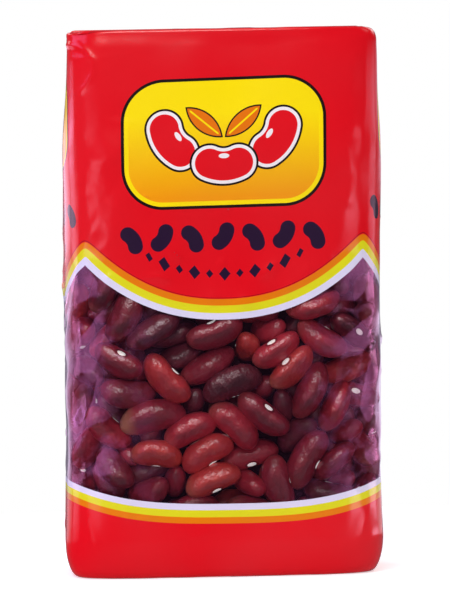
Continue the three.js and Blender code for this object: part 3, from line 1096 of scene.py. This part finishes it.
def noise(tree, vector, scale, detail=3.0, roughness=0.5):
    inputs = {"Vector": vector, "Scale": scale, "Detail": detail, "Roughness": roughness}
    return Num(tree, add_node(tree, "TexNoise", inputs).outputs["Fac"])


def object_place(tree):
    return add_node(tree, "TexCoord", {}).outputs["Object"]


def bump(tree, height, strength, distance):
    inputs = {"Strength": strength, "Distance": distance, "Height": height}
    return add_node(tree, "Bump", inputs).outputs["Normal"]


def principled(tree, **values):
    inputs = {name.replace("_", " "): value for name, value in values.items()}
    return add_node(tree, "BsdfPrincipled", inputs)


def mix_shaders(tree, share, first, second):
    return add_node(tree, "MixShader", {0: share, 1: first.outputs[0], 2: second.outputs[0]})


RED = srgb(226, 14, 28)
DEEP_RED = srgb(150, 6, 16)
ORANGE = srgb(232, 128, 8)
YELLOW = srgb(224, 224, 30)
PALE = srgb(222, 222, 240)
INK = srgb(40, 20, 48)
LABEL_YELLOW = srgb(255, 232, 6)
LABEL_ORANGE = srgb(246, 158, 12)
BLACK = srgb(24, 12, 14)
WHITE = srgb(246, 244, 240)
LEAF = srgb(232, 120, 6)

PEAK_BLUNTNESS = (2.2, 1.2, 0.4)  # how blunt the peak of each band is at the bag's edge, in millimetres
ARC_SHADOW = (0.35, 0.1)  # place above the arc, and half width, of the dark line along it


def arc_field(x, height, half, bluntness=0.01):
    """Distance above the arc that ends the upper printed field."""
    edge = half - abs(x)
    short = (edge * edge + bluntness**2).root()
    share = (1.0 - short / half).high(0.0)
    sag = half * ARC_SAG
    curve = sag * share**ARC_POWER - sag + (ARC_LOW + ARC_SAG * FRONT_HALF)
    slope = share ** (ARC_POWER - 1) * (ARC_POWER * ARC_SAG)
    return (height - curve) / (slope * slope + 1.0).root()


def lower_field(height, side):
    """Height above the line that starts the lower printed field."""
    return height - (side**3.0 * LOWER_RISE + LOWER_TOP)


def rotated(x, y, cosine, sine):
    """Coordinates along axes that are turned by an angle."""
    return x * cosine + y * sine, y * cosine - x * sine


def moved_and_rotated(x, y, across, up, slope):
    """Coordinates from a point, along axes that slope by an angle in degrees."""
    angle = math.radians(slope)
    return rotated(x - across, y - up, math.cos(angle), math.sin(angle))


def bean_field(x, y, half_length, half_width, bend):
    """Distance inside a bean's outline: a bar of even width, bent to an arc whose radius is bend."""
    reach = (half_length - half_width) / bend
    angle = x.calc("ARCTAN2", y * -1.0 + bend).high(-reach).low(reach)
    over_x = x - angle.calc("SINE") * bend
    over_y = y - (1.0 - angle.calc("COSINE")) * bend
    return half_width - hypot(over_x, over_y)


def leaf_field(x, y, half_length, half_width):
    """Distance inside a pointed leaf."""
    radius = (half_length**2 + half_width**2) / (2 * half_width)
    return radius - hypot(x, abs(y) + (radius - half_width))


def rounded_box_field(x, y, half_x, half_y, radius):
    """Distance inside a box with round corners."""
    over_x = abs(x) - (half_x - radius)
    over_y = abs(y) - (half_y - radius)
    outside = hypot(over_x.high(0.0), over_y.high(0.0))
    return radius - outside - over_x.high(over_y).low(0.0)


LABEL = (32.3, 20.2, 12.7)  # half width, half height and corner radius
LABEL_HEIGHT = 141.2
LABEL_RISE = 40.0  # how much higher it stands on a narrower panel, for each share that it shrinks
SIDE_SHRINK = 0.75  # power of the panel's width that the label follows
ROW_SHRINK = 0.38  # the same for the rows of beans and lozenges
BACK_SHRINK = 0.42  # the back has two small labels, one on each side of the seam
BACK_LABEL_PLACE = 25.5
LABEL_BEANS = ((-17.6, 0.6, -56.0), (17.6, 0.6, 56.0), (0.0, -7.6, 0.0))  # across, up, slope
LABEL_BEAN = (9.6, 4.7, 11.0)  # half length, half width and radius of the bend
LABEL_EYE = (3.3, 1.7, 0.8)  # distance from the bean's middle, half length and half width
LABEL_LEAVES = ((-6.4, 6.8, 140.0), (6.4, 6.8, 40.0))  # across, up, slope
LABEL_LEAF = (7.2, 2.7)  # half length and half width
LEAF_VEIN = 0.28


def lay_outlined(paint, field, layers):
    """Lays colours one over another, each out to its own distance from an outline."""
    for edge, colour in layers:
        paint.lay(field.step(edge), colour)


def lay_label(paint, x, y):
    """A yellow label with an orange lower half, three red beans and two leaves."""
    field = rounded_box_field(x, y, *LABEL)
    lay_outlined(paint, field, ((-1.0, BLACK), (0.0, LABEL_YELLOW)))
    shade = ((0.0 - y) / LABEL[1] * 0.75 + 0.35).clamp()
    paint.lay(field.step(1.4) * shade, LABEL_ORANGE)
    for place in LABEL_LEAVES:
        p, q = moved_and_rotated(x, y, *place)
        leaf = leaf_field(p, q, *LABEL_LEAF)
        lay_outlined(paint, leaf, ((-0.5, BLACK), (0.0, LEAF)))
        paint.lay((abs(q) * -1.0 + LEAF_VEIN).step() * leaf.step(0.6), LABEL_YELLOW)
    for place in LABEL_BEANS:
        p, q = moved_and_rotated(x, y, *place)
        shape = bean_field(p, q, *LABEL_BEAN)
        lay_outlined(paint, shape, ((-1.75, BLACK), (-1.05, WHITE), (0.0, RED)))
        off, half_length, half_width = LABEL_EYE
        eye = 1.0 - hypot(p / half_length, (q - off) / half_width)
        paint.lay(eye.step(), WHITE)


ROW_HEIGHT = 110.6
ROW_RISE = 68.0
ROW_PITCH = 9.9
ROW_HALF_COUNT = 3.5
ROW_LEAN = math.radians(58)
ROW_BEAN = (4.9, 2.45, 5.2)  # half length, half width and radius of the bend
DOT_PITCH = 4.9
DOT_HEIGHT = 8.2
DOT_SIZES = (1.9, 1.2)  # half widths of the large and the small lozenges
DOT_SQUASH = 0.85
DOT_REACH = 0.58  # share of the panel's half width that the line of lozenges takes


def numbered(x, pitch):
    """The number of the nearest place along a row, and 0 or 1 by turns."""
    number = (x / pitch + 0.5).calc("FLOOR")
    return number, (number * 0.5).calc("FRACT") * 2.0


def lay_bean_row(paint, x, y):
    """A row of dark beans that lean to the left and the right by turns."""
    number, parity = numbered(x, ROW_PITCH)
    sign = 1.0 - parity * 2.0
    p, q = rotated(x - number * ROW_PITCH, y, math.cos(ROW_LEAN), sign * math.sin(ROW_LEAN))
    within = (abs(x) * -1.0 + ROW_PITCH * ROW_HALF_COUNT).step()
    paint.lay(bean_field(p, q * sign, *ROW_BEAN).step() * within, INK)


def lay_dot_arc(paint, x, above, reach):
    """A line of dark lozenges that follows the arc, large and small by turns."""
    number, parity = numbered(x, DOT_PITCH)
    size = DOT_SIZES[0] - parity * (DOT_SIZES[0] - DOT_SIZES[1])
    shape = size - abs(x - number * DOT_PITCH) - abs(above) * DOT_SQUASH
    paint.lay(shape.step() * (reach - abs(number) * DOT_PITCH).step(), INK)


def film_coat(tree, colour):
    """The printed film: glossy, with faint unevenness in gloss and colour."""
    place = object_place(tree)
    shine = ((noise(tree, place, 26.0, 1.0) - 0.38) * 1.6 + 0.2).clamp()
    rough = noise(tree, place, 60.0, 3.0) * 0.08 + 0.14
    shade = noise(tree, place, 22.0, 2.0) * 0.10 + 0.95
    grey = add_node(tree, "CombineColor", {0: shade, 1: shade, 2: shade}).outputs[0]
    inputs = {0: 1.0, 6: colour, 7: grey}
    tint = add_node(tree, "Mix", inputs, data_type="RGBA", blend_type="MULTIPLY").outputs[2]
    crinkle = bump(tree, noise(tree, place, 330.0, 2.0), 0.05, 0.0004)
    return principled(tree, Specular_IOR_Level=shine, Roughness=rough, Base_Color=tint, Normal=crinkle)


def read_print(tree):
    """Place on the panel, across and up, the panel's half width, and 1 on the back."""
    (x, height, mark), _ = read_vector(tree, "print_place")
    back = mark.step(0.8 * BACK_MARK)
    return x, height, mark - back * BACK_MARK, back


def print_material():
    """The red fields, with the bands along them, the labels, the bean rows and the lozenges."""
    material, tree = new_material("printed_film")
    x, height, half, back = read_print(tree)
    (side, _, _), _ = read_vector(tree, "film_marks")
    paint = Paint(tree, RED)
    level = 0.0
    for depth, colour, bluntness in zip(UPPER_BANDS, (ORANGE, YELLOW, PALE), PEAK_BLUNTNESS):
        band = arc_field(x, height, half, bluntness)
        paint.lay((band * -1.0).step(level), colour)
        if level == 0.0:
            paint.lay((abs(band - ARC_SHADOW[0]) * -1.0 + ARC_SHADOW[1]).step(), DEEP_RED)
        level += depth
    level = 0.0
    for depth, colour in zip((0.0, *LOWER_BANDS), (PALE, YELLOW, ORANGE, RED)):
        level += depth
        paint.lay((lower_field(height, side) * -1.0).step(level), colour)
    from_middle = x + back * (abs(x) - BACK_LABEL_PLACE - x)
    back_scale = 1.0 - back * BACK_SHRINK
    scale = (half / FRONT_HALF) ** SIDE_SHRINK * back_scale
    lay_label(paint, from_middle / scale, (height - (1.0 - scale) * LABEL_RISE - LABEL_HEIGHT) / scale)
    scale = (half / FRONT_HALF) ** ROW_SHRINK * back_scale
    lay_bean_row(paint, from_middle / scale, (height - (1.0 - scale) * ROW_RISE - ROW_HEIGHT) / scale)
    above = arc_field(x, height, half)
    lay_dot_arc(paint, x / scale, above / scale - DOT_HEIGHT, half / scale * DOT_REACH)
    set_surface(tree, film_coat(tree, paint.colour))
    return material


CLEAR = (0.97, 0.955, 0.965, 1.0)
GLOSS_FACING = (1.0, 0.50, 0.88, 1.0)
GLOSS_SLANTING = (0.95, 0.88, 1.0, 1.0)
# Lilac layer over the clear film: partly the film's own haze, partly a painted reflection of the lilac light
# that the film's creased edges reflect.
LILAC_HAZE_AND_REFLECTION_COLOUR = srgb(200, 116, 176)
BASE_HAZE_AND_REFLECTION = 0.006  # all over the clear film
CLOUDED_HAZE_AND_REFLECTION = 0.18  # more in clouds towards the bag's edges
PATCHED_HAZE_AND_REFLECTION = 0.27  # more on some facets close to them


def window_material():
    """The clear band, with the pale printed edge that crosses the faces along it."""
    material, tree = new_material("clear_film")
    x, height, half, _ = read_print(tree)
    (side, facets, near_edge), _ = read_vector(tree, "film_marks")
    above = arc_field(x, height, half)
    clear = (above * -1.0).step(sum(UPPER_BANDS)) * lower_field(height, side).step()

    place = object_place(tree)
    normal = bump(tree, noise(tree, place, 260.0, 2.0), 0.05, 0.0005)
    see_through = add_node(tree, "BsdfTransparent", {"Color": CLEAR})
    slant = Num(tree, add_node(tree, "Fresnel", {"IOR": 1.5, "Normal": normal}).outputs[0])
    tint = Paint(tree, GLOSS_FACING)
    tint.lay((slant * 1.6).clamp(), GLOSS_SLANTING)
    gloss = add_node(tree, "BsdfGlossy", {"Color": tint.colour, "Roughness": 0.16, "Normal": normal})
    bare = mix_shaders(tree, ((slant - 0.034) * 2.3).clamp(), see_through, gloss)

    # Painted reflection and haze: the lilac layer is mixed in, in clouds towards the bag's edges and on
    # facets near them, where the creased film would reflect the lilac light.
    cloudy = noise(tree, place, 95.0, 3.0, 0.6)
    haze_and_reflection_share = ((cloudy - 0.48) * 7.0).clamp() * near_edge.root() * CLOUDED_HAZE_AND_REFLECTION + BASE_HAZE_AND_REFLECTION
    patches = ((facets - 0.2 + (cloudy - 0.5) * 0.8) * 4.5).clamp()
    haze_and_reflection_share = haze_and_reflection_share + patches * near_edge**3.0 * PATCHED_HAZE_AND_REFLECTION
    haze_and_reflection_shader = principled(tree, Base_Color=LILAC_HAZE_AND_REFLECTION_COLOUR, Roughness=0.35, Normal=normal)
    hazy_and_reflecting = mix_shaders(tree, haze_and_reflection_share.clamp(), bare, haze_and_reflection_shader)
    set_surface(tree, mix_shaders(tree, clear, film_coat(tree, PALE), hazy_and_reflecting))
    return material


BEAN_COLOURS = (
    (0.0, srgb(86, 44, 54)),
    (0.2, srgb(116, 38, 52)),
    (0.5, srgb(158, 40, 58)),
    (0.75, srgb(194, 50, 66)),
    (1.0, srgb(216, 74, 62)),
)
TIP = srgb(200, 138, 112)
RIDGE_HIGHLIGHT = srgb(214, 140, 130)
EYE_RIM = srgb(40, 14, 14)


def bean_material():
    """Dark red skins with mottling, a painted highlight along the back's edge, a pale tip on some, and a
    dark rim round the eye.
    """
    material, tree = new_material("bean_skin")
    (x, y, z), place = read_vector(tree, "bean_place")
    (tone, tip, wrinkle), _ = read_vector(tree, "bean_look")
    mottle = noise(tree, place, 0.35, 4.0, 0.62) - 0.5
    shade = (tone + mottle * 0.34).clamp()
    ramp = add_node(tree, "ValToRGB", {0: shade})
    stops = ramp.color_ramp.elements
    while len(stops) < len(BEAN_COLOURS):
        stops.new(0.5)
    for stop, (at, colour) in zip(stops, BEAN_COLOURS):
        stop.position = at
        stop.color = colour
    paint = Paint(tree, ramp.outputs[0])
    along = ((x / TEXTURE_STRIDE + 0.5).calc("FRACT") - 0.5) * TEXTURE_STRIDE
    paint.lay(((along * -1.0 - 5.2) / 4.0).clamp() * tip, TIP)
    # Painted highlight: a pale line along each bean's back edge, where a ridge would catch the light,
    # stronger on paler beans.
    back = (abs(z) * -1.0 + 0.22).step(0.0, 0.25) * (y * -1.0).step(1.6, 1.0)
    paint.lay(back * 0.16 * shade, RIDGE_HIGHLIGHT)
    ring = hypot(along / 2.0, z / 1.25)
    paint.lay((1.0 - abs(ring - 1.0) * 4.0).clamp() * y.step(1.0, 1.0) * 0.7, EYE_RIM)
    rough = noise(tree, place, 0.8, 3.0) * 0.20 + wrinkle * 0.06 + 0.24
    grain = noise(tree, place, 0.5, 1.0) + noise(tree, place, 1.7, 1.0) * (wrinkle * 0.3 + 0.16)
    normal = bump(tree, grain, 1.0, 0.0004)
    shader = principled(
        tree, Base_Color=paint.colour, Specular_IOR_Level=0.75, Roughness=rough, Normal=normal
    )
    set_surface(tree, shader)
    return material


def spotted_material(name, colour, spots, spot_colour, **values):
    """A material of one colour with spots of another. spots gives their share from a tree and a place."""
    material, tree = new_material(name)
    paint = Paint(tree, colour)
    paint.lay(spots(tree, object_place(tree)), spot_colour)
    set_surface(tree, principled(tree, Base_Color=paint.colour, **values))
    return material


def eye_material():
    def spots(tree, place):
        return ((noise(tree, place, 900.0, 2.0) - 0.5) * 4.0).clamp()

    # The eyes glow a little (Emission_Strength): painted light that makes them whiter than their lighting
    # would.
    values = {"Specular_IOR_Level": 0.3, "Roughness": 0.55, "Emission_Strength": 0.35}
    return spotted_material("bean_eye", srgb(252, 248, 240), spots, srgb(228, 208, 184), **values)


def core_material():
    def spots(tree, place):
        return noise(tree, place, 120.0, 3.0)

    # Near-black: painted shade, standing in for the beans deep in the bag, which lie in shadow.
    values = {"Specular_IOR_Level": 0.2, "Roughness": 0.7}
    return spotted_material("bean_core", srgb(34, 14, 17), spots, srgb(58, 22, 27), **values)


def plain_print_material():
    """The neck: the same red film."""
    material, tree = new_material("seam_film")
    paint = Paint(tree, RED)
    paint.lay(noise(tree, object_place(tree), 40.0, 2.0) * 0.12, DEEP_RED)
    set_surface(tree, film_coat(tree, paint.colour))
    return material


# Stage, light and camera

LIT_POINT = Vector((0.0, 0.0, 0.085))
LIGHT_DISTANCE = 0.9
WHITE_LIGHT = (1.0, 1.0, 1.0)
PINK = (1.0, 0.62, 0.82)
VIOLET = (0.9, 0.62, 1.0)
DEEP_VIOLET = (0.7, 0.46, 1.0)
PALE_VIOLET = (0.97, 0.90, 1.0)
LAMPS = (  # name, azimuth, elevation, size in metres, radiance, colour
    ("key", -12, 36, (0.42, 0.28), 9.4, WHITE_LIGHT),
    ("top", 20, 78, (0.60, 0.40), 0.8, WHITE_LIGHT),
    ("left", -76, 27, (0.95, 0.26), 3.5, DEEP_VIOLET),
    ("right", 82, 42, (0.40, 0.30), 2.2, WHITE_LIGHT),
    ("back", -142, 32, (0.50, 0.40), 2.2, WHITE_LIGHT),
    ("back", 142, 32, (0.50, 0.40), 2.2, WHITE_LIGHT),
)
CARDS = (  # azimuth, lowest and highest level in millimetres, width in metres, radiance, colour
    (-46, -8, 98, 0.34, 1.9, PINK),
    (-104, -8, 98, 0.50, 1.9, PINK),
    (46, -8, 98, 0.34, 3.2, PINK),
    (104, -8, 98, 0.50, 3.2, PINK),
    (-38, 70, 200, 0.35, 0.5, PINK),
    (-112, 146, 182, 0.40, 4.5, VIOLET),
    (-112, 98, 146, 0.40, 1.4, PINK),
    (-146, 98, 182, 0.60, 1.6, PINK),
    (-146, -40, 98, 0.60, 0.45, PALE_VIOLET),
    (146, -40, 60, 0.80, 0.6, PALE_VIOLET),
    (95, 130, 222, 0.90, 1.9, PINK),
    (146, 130, 222, 0.60, 0.6, PINK),
)
FLOOR_RADIUS = 330
FLOOR_SIDES = 96
FLOOR_LEVEL = -0.05

CAMERA_DISTANCE = 1.4
CAMERA_TARGET = (0.2, 90.2)  # across and up on the front, in millimetres
CAMERA_AZIMUTH = -2.0
CAMERA_ELEVATION = 0.8
CAMERA_ROLL = 1.1
MM_PER_PIXEL = 0.324
PICTURE_HEIGHT = 600


def add_area_light(name, place, size, radiance, colour):
    """An area light that looks at the bag. The power gives it the same brightness at any size."""
    data = bpy.data.lights.new(name, "AREA")
    data.shape = "RECTANGLE"
    data.size, data.size_y = size
    data.energy = 4 * size[0] * size[1] * radiance
    data.color = colour
    light = bpy.data.objects.new(name, data)
    light.location = place
    light.rotation_euler = (place - LIT_POINT).to_track_quat("Z", "Y").to_euler()
    bpy.context.scene.collection.objects.link(light)


def add_lamp(name, azimuth, elevation, size, radiance, colour):
    """A light high up. Azimuth 0 is in front of the bag, and 90 to its right."""
    turn, rise = math.radians(azimuth), math.radians(elevation)
    back = Vector((math.sin(turn) * math.cos(rise), -math.cos(turn) * math.cos(rise), math.sin(rise)))
    add_area_light(name, LIT_POINT + back * LIGHT_DISTANCE, size, radiance, colour)


def add_card(azimuth, low, high, width, radiance, colour):
    """An upright light card beside the bag, between two levels."""
    turn = math.radians(azimuth)
    place = Vector((math.sin(turn), -math.cos(turn), 0.0)) * LIGHT_DISTANCE
    place.z = 0.5 * (low + high) * MM
    add_area_light("card", place, (width, (high - low) * MM), radiance, colour)


def seen_mix(tree, unseen, seen):
    """One shader for the camera and another for the light that the bag gets."""
    path = add_node(tree, "LightPath", {})
    return mix_shaders(tree, path.outputs["Is Camera Ray"], unseen, seen)


def set_world():
    world = bpy.data.worlds.new("studio")
    bpy.context.scene.world = world
    world.use_nodes = True
    tree = world.node_tree
    tree.nodes.clear()
    dim = add_node(tree, "Background", {"Color": (0.9, 0.88, 1.0, 1.0), "Strength": 0.15})
    bright = add_node(tree, "Background", {"Color": (1.0, 1.0, 1.0, 1.0), "Strength": 1.0})
    add_node(tree, "OutputWorld", {"Surface": seen_mix(tree, dim, bright).outputs[0]})


def set_floor():
    turn = np.linspace(0, 2 * math.pi, FLOOR_SIDES, endpoint=False)
    rim = np.stack([np.cos(turn), np.sin(turn), np.zeros_like(turn)], axis=1) * FLOOR_RADIUS
    floor = make_mesh("floor", rim + (0, 0, FLOOR_LEVEL), [list(range(FLOOR_SIDES))])
    material, tree = new_material("floor")
    shaders = []
    for colour, strength in (((0.75, 0.73, 0.75, 1.0), 0.12), ((0.9, 0.9, 0.9, 1.0), 0.5)):
        values = {"Emission_Color": (1.0, 1.0, 1.0, 1.0), "Emission_Strength": strength}
        shaders.append(principled(tree, Base_Color=colour, Roughness=0.8, **values))
    set_surface(tree, seen_mix(tree, *shaders))
    floor.data.materials.append(material)
    floor.visible_glossy = False


def set_stage():
    view = bpy.context.scene.view_settings
    view.view_transform = "Standard"
    view.look = "None"
    set_world()
    set_floor()
    for lamp in LAMPS:
        add_lamp(*lamp)
    for card in CARDS:
        add_card(*card)


def set_camera():
    data = bpy.data.cameras.new("camera")
    data.sensor_fit = "VERTICAL"
    data.sensor_height = 36.0
    data.lens = data.sensor_height * CAMERA_DISTANCE / (MM_PER_PIXEL * MM * PICTURE_HEIGHT)
    data.clip_start = 0.05
    camera = bpy.data.objects.new("camera", data)
    bpy.context.scene.collection.objects.link(camera)
    azimuth, elevation = math.radians(CAMERA_AZIMUTH), math.radians(CAMERA_ELEVATION)
    target = Vector((CAMERA_TARGET[0] * MM, -DEPTH / 2 * MM, CAMERA_TARGET[1] * MM))
    back = Vector((math.sin(azimuth), -math.cos(azimuth), math.tan(elevation))).normalized()
    camera.location = target + back * CAMERA_DISTANCE
    look = (-back).to_track_quat("-Z", "Y")
    roll = Euler((0.0, 0.0, math.radians(-CAMERA_ROLL))).to_quaternion()
    camera.rotation_euler = (look @ roll).to_euler()
    bpy.context.scene.camera = camera


# The scene

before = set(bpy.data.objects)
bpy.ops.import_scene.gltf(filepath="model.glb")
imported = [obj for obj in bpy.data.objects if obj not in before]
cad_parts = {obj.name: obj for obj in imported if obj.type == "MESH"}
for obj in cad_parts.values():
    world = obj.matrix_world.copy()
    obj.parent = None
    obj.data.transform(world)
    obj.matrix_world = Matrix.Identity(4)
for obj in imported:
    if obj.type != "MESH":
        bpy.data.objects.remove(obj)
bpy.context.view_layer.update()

beans = lay_beans()
worst = settle(beans)
print(f"beans: {len(beans.place)}, largest overlap left {worst:.2f} mm")
bean_points, bean_faces, bean_place, bean_look = joined_beans(beans)
bean_piece = make_mesh("beans", bean_points, bean_faces)
set_vectors(bean_piece, "bean_place", bean_place)
set_vectors(bean_piece, "bean_look", bean_look)
eye_points, eye_faces = joined_eyes(beans)
eye_piece = make_mesh("bean_eyes", eye_points, eye_faces)
core_piece = build_core()

# The film lies on the beans and their eyes
held_points = np.concatenate([bean_points, eye_points])
held_faces = bean_faces + copied_faces(eye_faces, 1, 0, len(bean_points))
skin, normals, facets, near_edge = film_skin(held_points, held_faces)
film_piece = build_film(skin, facets, near_edge)
neck_piece = build_neck()
seam_piece = build_lap_seam(skin, normals)

film_pair = (print_material(), window_material())
for piece, slot, materials in (
    (film_piece, "film", film_pair),
    (neck_piece, "film", (plain_print_material(),)),
    (seam_piece, "film", film_pair),
    (bean_piece, "bean_skin", (bean_material(),)),
    (core_piece, "bean_skin", (core_material(),)),
    (eye_piece, "bean_eye", (eye_material(),)),
):
    for material in materials:
        piece.data.materials.append(material)
    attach(piece, "root")
    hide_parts("bag")
set_stage()
set_camera()
